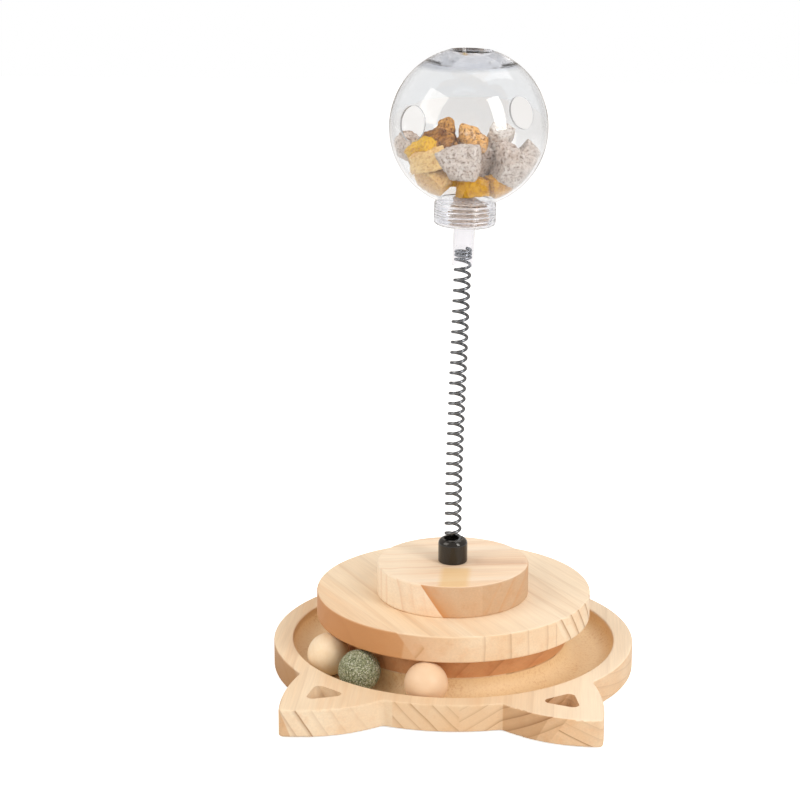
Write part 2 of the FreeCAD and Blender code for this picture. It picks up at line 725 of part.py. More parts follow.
parts["wood_ball_left"] = track_ball(wood_ball_r, wood_left_angle)
parts["catnip_ball"] = track_ball(catnip_ball_r, catnip_angle)
parts["wood_ball_right"] = track_ball(wood_ball_r, wood_right_angle)

os.makedirs("parts", exist_ok=True)
for name, shape in parts.items():
    shape.exportStep("parts/%s.step" % name)
    print("%s: %d solids, %.0f mm3" % (name, len(shape.Solids), shape.Volume))

spots = {
    "mast spring foot": mast_point(0.0),
    "spigot mouth": mast_point(mouth),
    "middle of the ball": head_place.multVec(Vector(0, 0, ball_z)),
    "head axis": head_place.Rotation.multVec(Vector(0, 0, 1)),
}
for name, spot in spots.items():
    print("%s: %.3f %.3f %.3f" % (name, spot.x, spot.y, spot.z))
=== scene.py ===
"""Looks of the wooden cat toy tower with its treat ball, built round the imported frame.

Metres. +Z is up, the ears point along -Y, and lengths in the sections are millimetres.
"""

import itertools
import math

import bmesh
import bpy
import numpy as np
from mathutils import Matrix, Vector


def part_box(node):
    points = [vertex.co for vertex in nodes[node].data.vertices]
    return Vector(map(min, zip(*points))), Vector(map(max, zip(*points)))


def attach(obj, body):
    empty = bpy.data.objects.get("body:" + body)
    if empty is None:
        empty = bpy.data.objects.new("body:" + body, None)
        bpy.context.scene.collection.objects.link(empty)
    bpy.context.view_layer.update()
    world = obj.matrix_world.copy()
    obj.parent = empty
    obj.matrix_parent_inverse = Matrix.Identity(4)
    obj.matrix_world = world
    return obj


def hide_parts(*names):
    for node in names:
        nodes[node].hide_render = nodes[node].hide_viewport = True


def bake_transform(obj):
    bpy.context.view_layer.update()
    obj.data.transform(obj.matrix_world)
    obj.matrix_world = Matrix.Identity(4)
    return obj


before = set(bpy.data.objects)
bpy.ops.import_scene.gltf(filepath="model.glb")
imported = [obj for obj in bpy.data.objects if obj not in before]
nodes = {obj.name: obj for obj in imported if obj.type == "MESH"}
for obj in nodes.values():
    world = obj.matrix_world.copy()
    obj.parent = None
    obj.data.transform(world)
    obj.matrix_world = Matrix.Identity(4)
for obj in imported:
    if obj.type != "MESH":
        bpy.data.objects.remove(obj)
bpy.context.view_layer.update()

# Base board: a cat's head cut from a panel of edge glued pine staves, 18 mm thick, with the
# ring track milled into it and its edges sanded round. The grain runs from front to back, so
# the front shows end grain, where the growth rings cross the staves as slanted brown lines.
mm = 0.001


def linear(code):
    """An sRGB hex colour as linear red, green and blue, with an alpha of one."""
    part = np.array([int(code[i:i + 2], 16) for i in (0, 2, 4)]) / 255
    curve = np.where(part <= 0.04045, part / 12.92, ((part + 0.055) / 1.055) ** 2.4)
    return (*curve, 1.0)


def add(tree, kind, inputs=(), out=0, stops=(), **settings):
    """Adds a node with its settings, its inputs as values or links and a ramp's stops."""
    made = tree.nodes.new("ShaderNode" + kind)
    for name, value in settings.items():
        setattr(made, name, value)
    if len(stops):
        points = made.color_ramp.elements
        while len(points) < len(stops):
            points.new(1.0)
        for point, (place, colour) in zip(points, stops):
            point.position = place
            point.color = colour
    for key, value in dict(inputs).items():
        if isinstance(value, bpy.types.NodeSocket):
            tree.links.new(value, made.inputs[key])
        else:
            made.inputs[key].default_value = value
    return made.outputs[out]


# how a Mix node mixes colours
colours = {"out": 2, "data_type": "RGBA"}


def new_material(name):
    """An empty material with its output node, as material, tree and surface input."""
    material = bpy.data.materials.new(name)
    material.use_nodes = True
    material.node_tree.nodes.clear()
    output = material.node_tree.nodes.new("ShaderNodeOutputMaterial")
    return material, material.node_tree, output.inputs["Surface"]


def dress(node_names, material):
    """Gives CAD nodes a material in all their slots."""
    for name in node_names:
        for slot in nodes[name].material_slots:
            slot.link = "OBJECT"
            slot.material = material


# the pale tone that the wood is painted towards its lit side, as painted light
painted_light_tone = "FBEBD3"


def ring_ramp(tree, value, rings, tone, heart_and_shade):
    """What a stave has at a place in mm: strength of its rings as red, its tone as green and
    its share of heartwood, on some staves also painted shade, as blue. A ring fades in over
    some mm before its sharp edge, 0.7 mm wide, or out after it where the length is negative."""
    rings = rings or [(0.0, 0.0, 1.0)]
    low = min(place - abs(fade) for place, _, fade in rings) - 2.0
    high = max(place + abs(fade) for place, _, fade in rings) + 2.0
    stops = []
    for place, strength, fade in rings:
        slow, quick = (-fade, 0.7) if fade > 0 else (-fade, -0.7)
        stops += sorted([(place + slow, 0.0), (place + 0.35 * slow, 0.4 * strength),
                         (place, strength), (place + quick, 0.0)])
    share = add(tree, "MapRange", {0: value, 1: low, 2: high})
    return add(tree, "ValToRGB", {0: share}, stops=[
        ((place - low) / (high - low), (strength, tone, heart_and_shade, 1.0))
        for place, strength in stops])


def pine(name, turn, staves, top, pale, deep, ring, heart_and_shade, top_turn=None, top_keep=0.15,
         painted_light=(0.0, 20.0, 90.0, 0.0)):
    """Sanded pine. Growth rings are planes: across the grain plus slope times height. Each
    stave gives where it starts, across the grain plus lean times height, the slope, tone and
    share of heartwood, both of which also paint shade on some staves, and its rings. The top
    has soft bands of its own along its grain. The wood is painted lighter, as painted light, in
    one way, given in degrees, between two places in mm, by three quarters on the top and by a
    given share on the sides."""
    material, tree, surface = new_material(name)
    place = add(tree, "TexCoord", out="Object")
    placed, on_top = (
        add(tree, "Mapping", {0: place, 2: (0, 0, math.radians(way)), 3: (1000, 1000, 1000)})
        for way in (turn, turn if top_turn is None else top_turn))
    across, _, up = add(tree, "SeparateXYZ", {0: placed}).node.outputs
    # wander of the rings, a mm or two over the length of a piece
    long_way = add(tree, "Mapping", {0: placed, 3: (1 / 30, 1 / 140, 1 / 30)})
    wander = add(tree, "TexNoise", {0: long_way, "Scale": 1.0, "Detail": 2.0})
    wandered = add(tree, "Math", {0: wander, 1: 3.0, 2: across}, operation="MULTIPLY_ADD")
    centred = add(tree, "Math", {0: wandered, 1: 1.5}, operation="SUBTRACT")
    figure = None
    for start, lean, slope, tone, heartwood, rings in staves:
        tilted = add(tree, "Math", {0: up, 1: slope, 2: centred}, operation="MULTIPLY_ADD")
        found = ring_ramp(tree, tilted, rings, tone, heartwood)
        if figure:
            edge = add(tree, "Math", {0: up, 1: lean, 2: across}, operation="MULTIPLY_ADD")
            past = add(tree, "MapRange", {0: edge, 1: start - 0.4, 2: start + 0.4})
            found = add(tree, "Mix", {0: past, 6: figure, 7: found}, **colours)
        figure = found
    facing_up = add(tree, "SeparateXYZ", {0: add(tree, "TexCoord", out="Normal")}, out=2)
    flat = add(tree, "Math", {0: facing_up}, operation="ABSOLUTE")
    # the top shows little of the sides' figure, and has its own soft bands
    top_across = add(tree, "SeparateXYZ", {0: on_top})
    top_place = add(tree, "Math", {0: wander, 1: 9.0, 2: top_across}, operation="MULTIPLY_ADD")
    top_place = add(tree, "Math", {0: top_place, 1: 4.5}, operation="SUBTRACT")
    top_figure = ring_ramp(tree, top_place, top, 0.3, 0.0)
    keep = add(tree, "MapRange", {0: flat, 1: 0.5, 2: 0.9, 4: 1.0 - top_keep})
    figure = add(tree, "Mix", {0: keep, 6: figure, 7: top_figure}, **colours)
    line, tone, heartwood = add(tree, "SeparateColor", {0: figure}).node.outputs
    # bands of warmer wood, 26 mm wide, soft streaks 6 mm wide, and fibres drawn 1.2 mm wide so
    # that they show, each with its length along the grain and how rough its noise is
    grain_place = add(tree, "Mix", {0: flat, 4: placed, 5: on_top}, out=1, data_type="VECTOR")
    drawn_out = []
    for wide, long, coarse in ((26, 240, 0.5), (6, 190, 0.5), (1.2, 30, 0.6)):
        way = add(tree, "Mapping", {0: grain_place, 3: (1 / wide, 1 / long, 1 / wide)})
        drawn_out.append(add(tree, "TexNoise", {0: way, "Scale": 1.0, "Detail": 3.0,
                                                "Roughness": coarse}))
    bands, streaks, fibres = drawn_out
    warm = add(tree, "MapRange", {0: bands, 1: 0.35, 2: 0.7, 3: -0.2, 4: 0.4})
    toned = add(tree, "Math", {0: warm, 1: tone}, operation="ADD", use_clamp=True)
    streaked = add(tree, "MapRange", {0: streaks, 1: 0.5, 2: 0.78, 4: 0.3})
    drawn = add(tree, "Math", {0: fibres, 1: 0.9, 2: 0.55}, operation="MULTIPLY_ADD")
    drawn = add(tree, "Math", {0: drawn, 1: line}, operation="MULTIPLY")
    body = add(tree, "Mix", {0: toned, 6: linear(pale), 7: linear(deep)}, **colours)
    # heartwood, whose share on some staves is painted shade too
    body = add(tree, "Mix", {0: heartwood, 6: body, 7: linear(heart_and_shade)}, **colours)
    body = add(tree, "Mix", {0: streaked, 6: body, 7: linear(deep)}, **colours,
               blend_type="MULTIPLY")
    # painted light: the wood is painted lighter towards one way, on the top and the sides
    to, low, high, on_sides = painted_light
    way = (1000 * math.cos(math.radians(to)), 1000 * math.sin(math.radians(to)), 0)
    reach = add(tree, "VectorMath", {0: place, 1: way}, out=1, operation="DOT_PRODUCT")
    paler = add(tree, "MapRange", {0: reach, 1: low, 2: high})
    where = add(tree, "MapRange", {0: flat, 1: 0.5, 2: 0.9, 3: on_sides, 4: 0.75})
    paler = add(tree, "Math", {0: paler, 1: where}, operation="MULTIPLY")
    body = add(tree, "Mix", {0: paler, 6: body, 7: linear(painted_light_tone)}, **colours)
    body = add(tree, "Mix", {0: drawn, 6: body, 7: linear(ring)}, **colours)
    grain = add(tree, "MapRange", {0: fibres, 1: 0.3, 2: 0.7, 3: 0.94, 4: 1.04})
    body = add(tree, "Mix", {0: 1.0, 6: body, 7: grain}, **colours, blend_type="MULTIPLY")
    bump = add(tree, "Bump", {"Strength": 0.2, "Distance": 0.0002, "Height": fibres})
    rough = add(tree, "MapRange", {0: fibres, 3: 0.5, 4: 0.62})
    shader = add(tree, "BsdfPrincipled", {"Base Color": body, "Roughness": rough,
                                          "IOR": 1.5, "Normal": bump})
    tree.links.new(shader, surface)
    return material, tree, shader.node, placed


def stain(shader, share, colour):
    """Lays a colour over the one that a wood has, by a share from 0 to 1."""
    tree = shader.id_data
    under = shader.inputs["Base Color"].links[0].from_socket
    over = add(tree, "Mix", {0: share, 6: under, 7: linear(colour)}, **colours)
    tree.links.new(over, shader.inputs["Base Color"])


# the board's top is painted lighter towards the right as painted light; its leftmost stave and the
# stave from 38 mm are deeper in tone and heartwood partly as painted shade, on the ring's left side
# and the right ear's flank
board_wood, tree, shader, placed = pine(
    "sanded_pine_board", 0.0,
    [(-200, 0, 0.6, 0.9, 0.3, [(-98, 0.3, 3)]),
     (-92, 0.4, 0.6, 0.2, 0.0, [(-88, 0.4, 4), (-78.3, 0.85, 3),
                                 (-68.5, 0.2, 4), (-57, 0.15, 4), (-45, 0.12, 4)]),
     (-31, 0, 1.0, 0.6, 0.0, [(-22, 0.6, 5), (-11, 0.55, 3), (-0.5, 0.95, 3),
                              (12.8, 0.7, 3), (22, 0.4, 3)]),
     (11, 0, -1.667, 0.5, 0.0, [(-14, 0.3, 3), (-1.7, 0.5, 4), (11.7, 0.45, 4), (25, 0.8, 4)]),
     (38, 0, -1.667, 0.9, 0.65, [(11.7, 0.8, 6), (25, 1.0, 6), (38, 1.0, 7), (51, 0.5, 6)]),
     (58, -0.5, -1.667, 0.8, 0.3, [(25, 0.7, 5), (38, 1.0, 6), (51, 0.5, 6)]),
     (66, -0.65, 2.2, 0.7, 0.1, [(97.4, 0.9, 3), (113, 0.2, 5), (128, 0.2, 5), (145, 0.2, 5)])],
    [(-100, 0.1, 6), (-62, 0.1, 5), (20, 0.08, 6), (66, 0.1, 5), (104, 0.12, 6)],
    "F7E6CB", "EBC79E", "99683A", "B68657")
across, along, up = add(tree, "SeparateXYZ", {0: placed}).node.outputs
level_way = add(tree, "Mapping", {0: placed, 3: (1, 1, 0)})
from_axis = add(tree, "VectorMath", {0: level_way}, out=1, operation="LENGTH")
track_edge_r, board_face = 106.6, 17.6
within = add(tree, "MapRange", {0: from_axis, 1: track_edge_r, 2: track_edge_r + 1,
                                3: 1.0, 4: 0.0})
below = add(tree, "MapRange", {0: up, 1: board_face, 2: board_face + 1, 3: 1.0, 4: 0.0})
in_track = add(tree, "Math", {0: within, 1: below}, operation="MULTIPLY")
# painted shade on the ring's left side, below its top and behind the ear, and the middle of
# the board, fading out by 70 mm either side, made darker
left = add(tree, "MapRange", {0: across, 1: -98.0, 2: -88.0, 3: 0.8, 4: 0.0})
back = add(tree, "MapRange", {0: along, 1: -92.0, 2: -80.0})
left = add(tree, "Math", {0: left, 1: back}, operation="MULTIPLY")
stain(shader, add(tree, "Math", {0: left, 1: below}, operation="MULTIPLY"), "AC7C48")
off = add(tree, "Math", {0: across}, operation="ABSOLUTE")
stain(shader, add(tree, "MapRange", {0: off, 1: 25.0, 2: 70.0, 3: 0.45, 4: 0.0}), "DDB98F")
# the track is left as milled: torn end fibres, drawn 1.5 mm wide, speckle it with gold
torn = add(tree, "TexNoise", {0: placed, "Scale": 1 / 1.5, "Detail": 3.0, "Roughness": 0.65})
patches = add(tree, "TexNoise", {0: placed, "Scale": 1 / 16, "Detail": 2.0})
stain(shader, add(tree, "Math", {0: in_track, 1: 0.92}, operation="MULTIPLY"), "F6DCB2")
flecks = add(tree, "MapRange", {0: torn, 1: 0.48, 2: 0.66, 4: 0.55})
patched = add(tree, "MapRange", {0: patches, 1: 0.35, 2: 0.65, 3: 0.35, 4: 1.0})
flecks = add(tree, "Math", {0: flecks, 1: patched}, operation="MULTIPLY")
stain(shader, add(tree, "Math", {0: in_track, 1: flecks}, operation="MULTIPLY"), "D2A56C")
dress(["base_board"], board_wood)

# Anti slip pads: discs of grey rubber foam, 1 mm thick, glued under the board. Closed foam has
# a dull skin with fine pores.
pad_foam, tree, surface = new_material("rubber_foam_pad")
place = add(tree, "TexCoord", out="Object")
pores = add(tree, "TexNoise", {0: place, "Scale": 1400.0, "Detail": 2.0})
skin_tone = add(tree, "Mix", {0: pores, 6: linear("4A4845"), 7: linear("6B6864")}, **colours)
bump = add(tree, "Bump", {"Strength": 0.3, "Distance": 0.0002, "Height": pores})
shader = add(tree, "BsdfPrincipled", {"Base Color": skin_tone, "Roughness": 0.85, "Normal": bump})
tree.links.new(shader, surface)
dress(["anti_slip_pads"], pad_foam)

# Riser: a turned block of redder pine heartwood, glued and screwed on the middle of the board.
# Heartwood is darker and more even than the sapwood round it.
riser_wood, *_ = pine(
    "sanded_pine_heartwood", 20.0,
    [(-200, 0, 0.4, 0.4, 0.3, [(-60, 0.3, 5), (-34, 0.35, 6), (-8, 0.3, 5)]),
     (10, 0, -0.8, 0.5, 0.5, [(16, 0.35, 5), (34, 0.4, 5), (52, 0.3, 5)])],
    [(0, 0.1, 6)], "E9BC91", "D69B68", "A5653A", "D89B6A")
dress(["riser"], riser_wood)

# Steel fixings: screws, bolt, washers and lock nut, zinc plated. Thin bright zinc has a faint
# bluish cast and drifts a little in tone over each part.
zinc, tree, surface = new_material("zinc_plated_steel")
place = add(tree, "TexCoord", out="Object")
drift = add(tree, "TexNoise", {0: place, "Scale": 260.0, "Detail": 2.0})
plate = add(tree, "Mix", {0: drift, 6: linear("B9BEC2"), 7: linear("D3D3CC")}, **colours)
rough = add(tree, "MapRange", {0: drift, 3: 0.26, 4: 0.4})
shader = add(tree, "BsdfPrincipled", {"Base Color": plate, "Metallic": 1.0, "Roughness": rough})
tree.links.new(shader, surface)
dress(["riser_screws", "puck_screws", "socket_screw", "pivot_bolt", "bolt_washer",
       "nut_washer", "lock_nut"], zinc)

# Thrust washer of natural nylon and bush of turned brass, which the disc turns on. Nylon is
# milky with a soft sheen, and the bush keeps the fine rings of the lathe.
nylon, tree, surface = new_material("natural_nylon")
place = add(tree, "TexCoord", out="Object")
cloud = add(tree, "TexNoise", {0: place, "Scale": 120.0, "Detail": 2.0})
milk = add(tree, "Mix", {0: cloud, 6: linear("E9E6DC"), 7: linear("F2F0EA")}, **colours)
shader = add(tree, "BsdfPrincipled", {"Base Color": milk, "Roughness": 0.42, "IOR": 1.53})
tree.links.new(shader, surface)
dress(["thrust_washer"], nylon)
brass, tree, surface = new_material("turned_brass")
place = add(tree, "TexCoord", out="Object")
lathe = add(tree, "TexWave", {0: place, "Scale": 800.0, "Distortion": 0.5},
            out=1, bands_direction="Z")
cut = add(tree, "Mix", {0: lathe, 6: linear("C9A452"), 7: linear("D9BA6E")}, **colours)
shader = add(tree, "BsdfPrincipled", {"Base Color": cut, "Metallic": 1.0, "Roughness": 0.3})
tree.links.new(shader, surface)
dress(["pivot_bush"], brass)

# Turning disc: pine staves again, 17.8 mm thick. It is laid with its grain turned 35 degrees,
# so that the front right of its rim shows end grain with strong slanted rings, and the left
# of its rim cuts into darker heartwood, deepened further as painted shade. Its top is painted
# lighter over its right and back half as painted light.
disc_wood, tree, shader, placed = pine(
    "sanded_pine_disc", -35.0,
    [(-200, 0, 0.2, 0.9, 0.6, [(-92, 0.3, 4), (-86, 0.35, 4), (-81, 0.35, 4)]),
     (-76, -0.1, -0.3, 0.8, 0.1, [(-90, 0.4, 5)]),
     (-48, 0.5, -0.52, 0.5, 0.0, [(-85.5, 0.5, 3), (-73.5, 0.4, 3)]),
     (-40, 0.5, 0.0, 0.4, 0.0, [(-29.6, 0.3, 2), (-12.7, 0.4, 3), (0, 0.25, 2),
                              (15.8, 0.3, 3), (23.5, 0.35, 1)]),
     (56, 0.63, 0.63, 0.1, 0.0, [(61.4, 0.8, 3), (71.9, 0.8, 3), (81.5, 0.8, 3),
                                 (92, 0.8, 3), (103, 0.7, 3), (114, 0.6, 3)])],
    [(-66, 0.2, 6), (-52, 0.22, -7), (-30, 0.14, 5), (8, 0.1, 6), (40, 0.2, -7),
     (58, 0.18, 6), (72, 0.12, 5)],
    "F7E4C8", "EDC9A0", "A8743C", "C6884F", top_turn=-30.0, painted_light=(45.0, -60.0, 0.0, 0.0))
# painted shade in the heartwood's colour on the left of the rim, fading out towards the front
across, _, up = add(tree, "SeparateXYZ", {0: placed}).node.outputs
top_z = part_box("turntable_disc")[1][2] / mm
heart_and_shade = add(tree, "MapRange", {0: across, 1: -88.0, 2: -38.0, 3: 0.8, 4: 0.0})
rim = add(tree, "MapRange", {0: up, 1: top_z - 1.2, 2: top_z - 0.4, 3: 1.0, 4: 0.0})
stain(shader, add(tree, "Math", {0: heart_and_shade, 1: rim}, operation="MULTIPLY"), "C6884F")
dress(["turntable_disc"], disc_wood)

# Puck: a thick pine block, screwed to the disc from below, that carries the mast. Pale wood,
# nearly white and painted lighter on its left as painted light, meets a slanting streak of
# orange and then tan heartwood across its front, which stands in partly as painted shade
# on its right.
puck_wood, tree, shader, placed = pine(
    "sanded_pine_puck", 0.0,
    [(-200, 0, 0.0, 0.0, 0.0, [(-48.5, 0.15, 1.5), (-45.5, 0.2, 1.5), (-41.5, 0.22, 1.5),
                               (-37, 0.1, 1)]),
     (-25.0, 0.2, 0.2, 0.3, 0.0, [(-19, 0.25, -4), (-10, 0.1, 4), (-2, 0.1, 4)]),
     (34.8, 0.71, 0.71, 0.6, 0.7, [(34.9, 0.85, -16)]),
     (22, 0, -0.5, 0.6, 0.8, [(-3, 0.15, 4), (5, 0.3, -4), (13, 0.25, -4)])],
    [(-52, 0.15, 5), (-37, 0.3, 4), (-24, 0.2, 5), (-8, 0.18, 4), (6, 0.12, 5), (20, 0.28, 4),
     (32, 0.15, 5)],
    "FDEEDA", "F2CBA2", "D08A4A", "C6A27E", top_turn=80.0, top_keep=0.0,
    painted_light=(180.0, 10.0, 35.0, 0.8))
# a soft yellow patch in front of the socket, and to its right a soft painted shadow of the socket
across, along, up = add(tree, "SeparateXYZ", {0: placed}).node.outputs
top = add(tree, "MapRange", {0: up, 1: 74.2, 2: 74.5})
for colour, share, middle, half, lean, soft in (
        ("EDC583", 0.6, (3.2, -42.0), (9.2, 19.5), 0.0, 2.0),
        ("C79F84", 0.5, (31.0, -9.5), (19.0, 4.5), 0.12, 4.0)):
    kept = top
    sheared = add(tree, "Math", {0: across, 1: -lean, 2: along}, operation="MULTIPLY_ADD")
    for value, centre, reach in ((across, middle[0], half[0]),
                                 (sheared, middle[1] - lean * middle[0], half[1])):
        off = add(tree, "Math", {0: value, 1: centre}, operation="SUBTRACT")
        off = add(tree, "Math", {0: off}, operation="ABSOLUTE")
        near = add(tree, "MapRange", {0: off, 1: reach - soft, 2: reach + soft, 3: 1.0, 4: 0.0})
        kept = add(tree, "Math", {0: kept, 1: near}, operation="MULTIPLY")
    stain(shader, add(tree, "Math", {0: kept, 1: share}, operation="MULTIPLY"), colour)
dress(["puck"], puck_wood)

# Mast socket: a moulded cup of glossy black ABS, screwed down in its middle. The mould's
# polish is broken by a fine ripple, which softens the streak of light on its side.
black_abs, tree, surface = new_material("glossy_black_abs")
place = add(tree, "TexCoord", out="Object")
ripple = add(tree, "TexNoise", {0: place, "Scale": 300.0, "Detail": 3.0})
tone = add(tree, "Mix", {0: ripple, 6: linear("171615"), 7: linear("242220")}, **colours)
rough = add(tree, "MapRange", {0: ripple, 3: 0.08, 4: 0.16})
bump = add(tree, "Bump", {"Strength": 0.04, "Distance": 0.0002, "Height": ripple})
shader = add(tree, "BsdfPrincipled", {"Base Color": tone, "Roughness": rough, "IOR": 1.53,
                                      "Normal": bump})
tree.links.new(shader, surface)
dress(["mast_socket"], black_abs)

# Mast spring: one hard drawn steel wire, wound right-handed with close coils in the socket and
# the spigot and open coils between. It is made in two halves, split at a turn, because the
# mast bends about two joints.
wire_r = 1.0
coil_r = 4.75
close_pitch, open_pitch = 2.2, 6.82
close_turns, open_turns, top_turns = 3, 28.5, 2.5
wire_start = math.radians(70.0)
foot = np.array([0.0, -9.0, 78.4])
bow_start = 12.2
spring_l = close_turns * close_pitch + open_turns * open_pitch + top_turns * close_pitch
spigot_grip = 10.5
bow_l = 74.0
lean = math.radians(2.0)


def mast_axis(length):
    """Point and lean of the mast's axis at lengths along it: upright, then a circular bow
    towards +X, then straight on."""
    angle = lean * np.clip((length - bow_start) / bow_l, 0, 1)
    beyond = np.maximum(length - bow_start - bow_l, 0)
    x = bow_l / lean * (1 - np.cos(angle)) + beyond * np.sin(angle)
    z = np.minimum(length, bow_start) + bow_l / lean * np.sin(angle) + beyond * np.cos(angle)
    return foot + np.stack([x, 0 * x, z], -1), angle


def coil_wire(turns):
    """Middle of the wire: once round the axis, right-handed, for each turn, while the length
    along the axis grows by the close pitch, the open pitch and the close pitch again."""
    length = (np.minimum(turns, close_turns) * close_pitch
              + np.clip(turns - close_turns, 0, open_turns) * open_pitch
              + np.maximum(turns - close_turns - open_turns, 0) * close_pitch)
    axis, angle = mast_axis(length)
    turn = 2 * np.pi * turns + wire_start
    out = np.stack([np.cos(angle) * np.cos(turn), np.sin(turn),
                    -np.sin(angle) * np.cos(turn)], -1)
    return axis + coil_r * out, out


def skin(name, grids, material, body, replaced=(), sharp=35.0, cut_from=0, cut=None):
    """One closed piece from grids of points: their quads share the points that coincide, so
    seams and poles close, and the faces are turned outwards. The grids from cut_from on are
    cut edges with a material of their own."""
    mesh = bpy.data.meshes.new(name)
    count, points, faces = 0, [], []
    for grid, *kept in grids:
        rows, columns = grid.shape[:2]
        index = count + np.arange(rows * columns).reshape(rows, columns)
        quads = np.stack([index[:-1, :-1], index[:-1, 1:], index[1:, 1:], index[1:, :-1]], -1)
        faces.append(quads[kept[0]] if kept else quads.reshape(-1, 4))
        points.append(grid.reshape(-1, 3))
        count += rows * columns
    mesh.from_pydata(np.concatenate(points) * mm, [], np.concatenate(faces).tolist())
    if cut_from:
        start = sum(map(len, faces[:cut_from]))
        mesh.polygons.foreach_set("material_index", np.arange(len(mesh.polygons)) >= start)
    work = bmesh.new()
    work.from_mesh(mesh)
    bmesh.ops.remove_doubles(work, verts=work.verts, dist=1e-6)
    bmesh.ops.recalc_face_normals(work, faces=work.faces)
    work.to_mesh(mesh)
    work.free()
    mesh.shade_smooth()
    mesh.set_sharp_from_angle(angle=math.radians(sharp))
    mesh.materials.append(material)
    if cut:
        mesh.materials.append(cut)
    piece = bpy.data.objects.new(name, mesh)
    bpy.context.scene.collection.objects.link(piece)
    if body:
        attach(piece, body)
    if replaced:
        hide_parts(*replaced)
    return piece


points_a_turn = 36


def wire_grid(first, last):
    """Tube round the wire from one turn to another: a circle across the wire's direction,
    carried along it, with both ends drawn together to a point."""
    turns = np.linspace(first, last, int((last - first) * points_a_turn) + 1)
    centre, out = coil_wire(turns)
    way = np.gradient(centre, axis=0)
    way /= np.linalg.norm(way, axis=-1, keepdims=True)
    out = out - way * (out * way).sum(-1, keepdims=True)
    out /= np.linalg.norm(out, axis=-1, keepdims=True)
    side = np.cross(way, out)
    ring = np.linspace(0, 2 * np.pi, 13)[None, :, None]
    grid = centre[:, None] + wire_r * (np.cos(ring) * out[:, None] + np.sin(ring) * side[:, None])
    ends = [np.broadcast_to(centre[i], (1,) + grid.shape[1:]) for i in (0, -1)]
    return np.concatenate([ends[0], grid, ends[1]])


spring_steel, tree, surface = new_material("hard_drawn_spring_steel")
place = add(tree, "TexCoord", out="Object")
scale_marks = add(tree, "TexNoise", {0: place, "Scale": 420.0, "Detail": 3.0})
tone = add(tree, "Mix", {0: scale_marks, 6: linear("595D61"), 7: linear("8B8F95")}, **colours)
rough = add(tree, "MapRange", {0: scale_marks, 3: 0.2, 4: 0.3})
shader = add(tree, "BsdfPrincipled", {"Base Color": tone, "Metallic": 1.0, "Roughness": rough})
tree.links.new(shader, surface)

all_turns = close_turns + open_turns + top_turns
split_turn = close_turns + 14
# first and last turn, the bodies below and above, and the heights between which it bends
halves = [("mast_spring_lower", 0.0, split_turn, "turntable", "mast", 96, 178),
          ("mast_spring_upper", split_turn, all_turns, "mast", "cap", 187, 270)]
for name, first, last, below, above, start, end in halves:
    half = skin(name, [(wire_grid(first, last),)], spring_steel, None,
                ["mast_spring"], sharp=60.0)
    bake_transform(half)

# Screw cap: clear moulded acrylic, a spigot that grips the spring under a shallow cup with a
# thread inside. Its wall stays clear, so the threads and what is behind them show.
mouth, _ = mast_axis(np.array(spring_l - spigot_grip))
spring_bore_r = 5.95
spigot_r = 6.85
spigot_l = 26.5
cap_r, cap_h, cap_wall, cap_floor = 19.7, 13.9, 1.3, 1.6
cap_corner = 2.2
cap_lip = 0.3
spigot_round = 1.2
pitch = 3.2
thread_step = 0.2
run_out = 0.8
columns = 96


def on_head(points):
    """Moves points from the spigot's mouth at the origin, upright, to the leaning mast."""
    x, y, z = np.moveaxis(points, -1, 0)
    turned = [x * math.cos(lean) + z * math.sin(lean), y, z * math.cos(lean) - x * math.sin(lean)]
    return mouth + np.stack(turned, -1)


def quarter(a, square, b, count=7):
    """Points of a quarter round from a to b, where square is the corner it takes off."""
    a, square, b = map(np.array, (a, square, b))
    turn = np.linspace(0, np.pi / 2, count)[:, None]
    return a + (square - a) * np.sin(turn) + (b - square) * (1 - np.cos(turn))


def turned(profile, thread):
    """A profile of (radius, height) points carried round the axis. The thread, given as its
    lowest and highest height, depth, start and the radius of its wall, moves that wall's points
    by the depth times a ridge that climbs one pitch in each turn and fades at its ends."""
    low, high, depth, start, wall = thread
    angle = np.linspace(0, 2 * np.pi, columns + 1)
    radius, height = (np.repeat(part[:, None], columns + 1, 1) for part in np.array(profile).T)
    phase = ((height - start) / pitch - angle / (2 * np.pi)) % 1.0
    ridge = np.clip(1.6 - 5.2 * np.abs(phase - 0.5), 0, 1)
    fade = np.clip((height - low) / run_out, 0, 1) * np.clip((high - height) / run_out, 0, 1)
    radius = radius + depth * ridge * fade * (np.abs(radius - wall) < 0.01)
    return np.stack([radius * np.cos(angle), radius * np.sin(angle), height], -1)


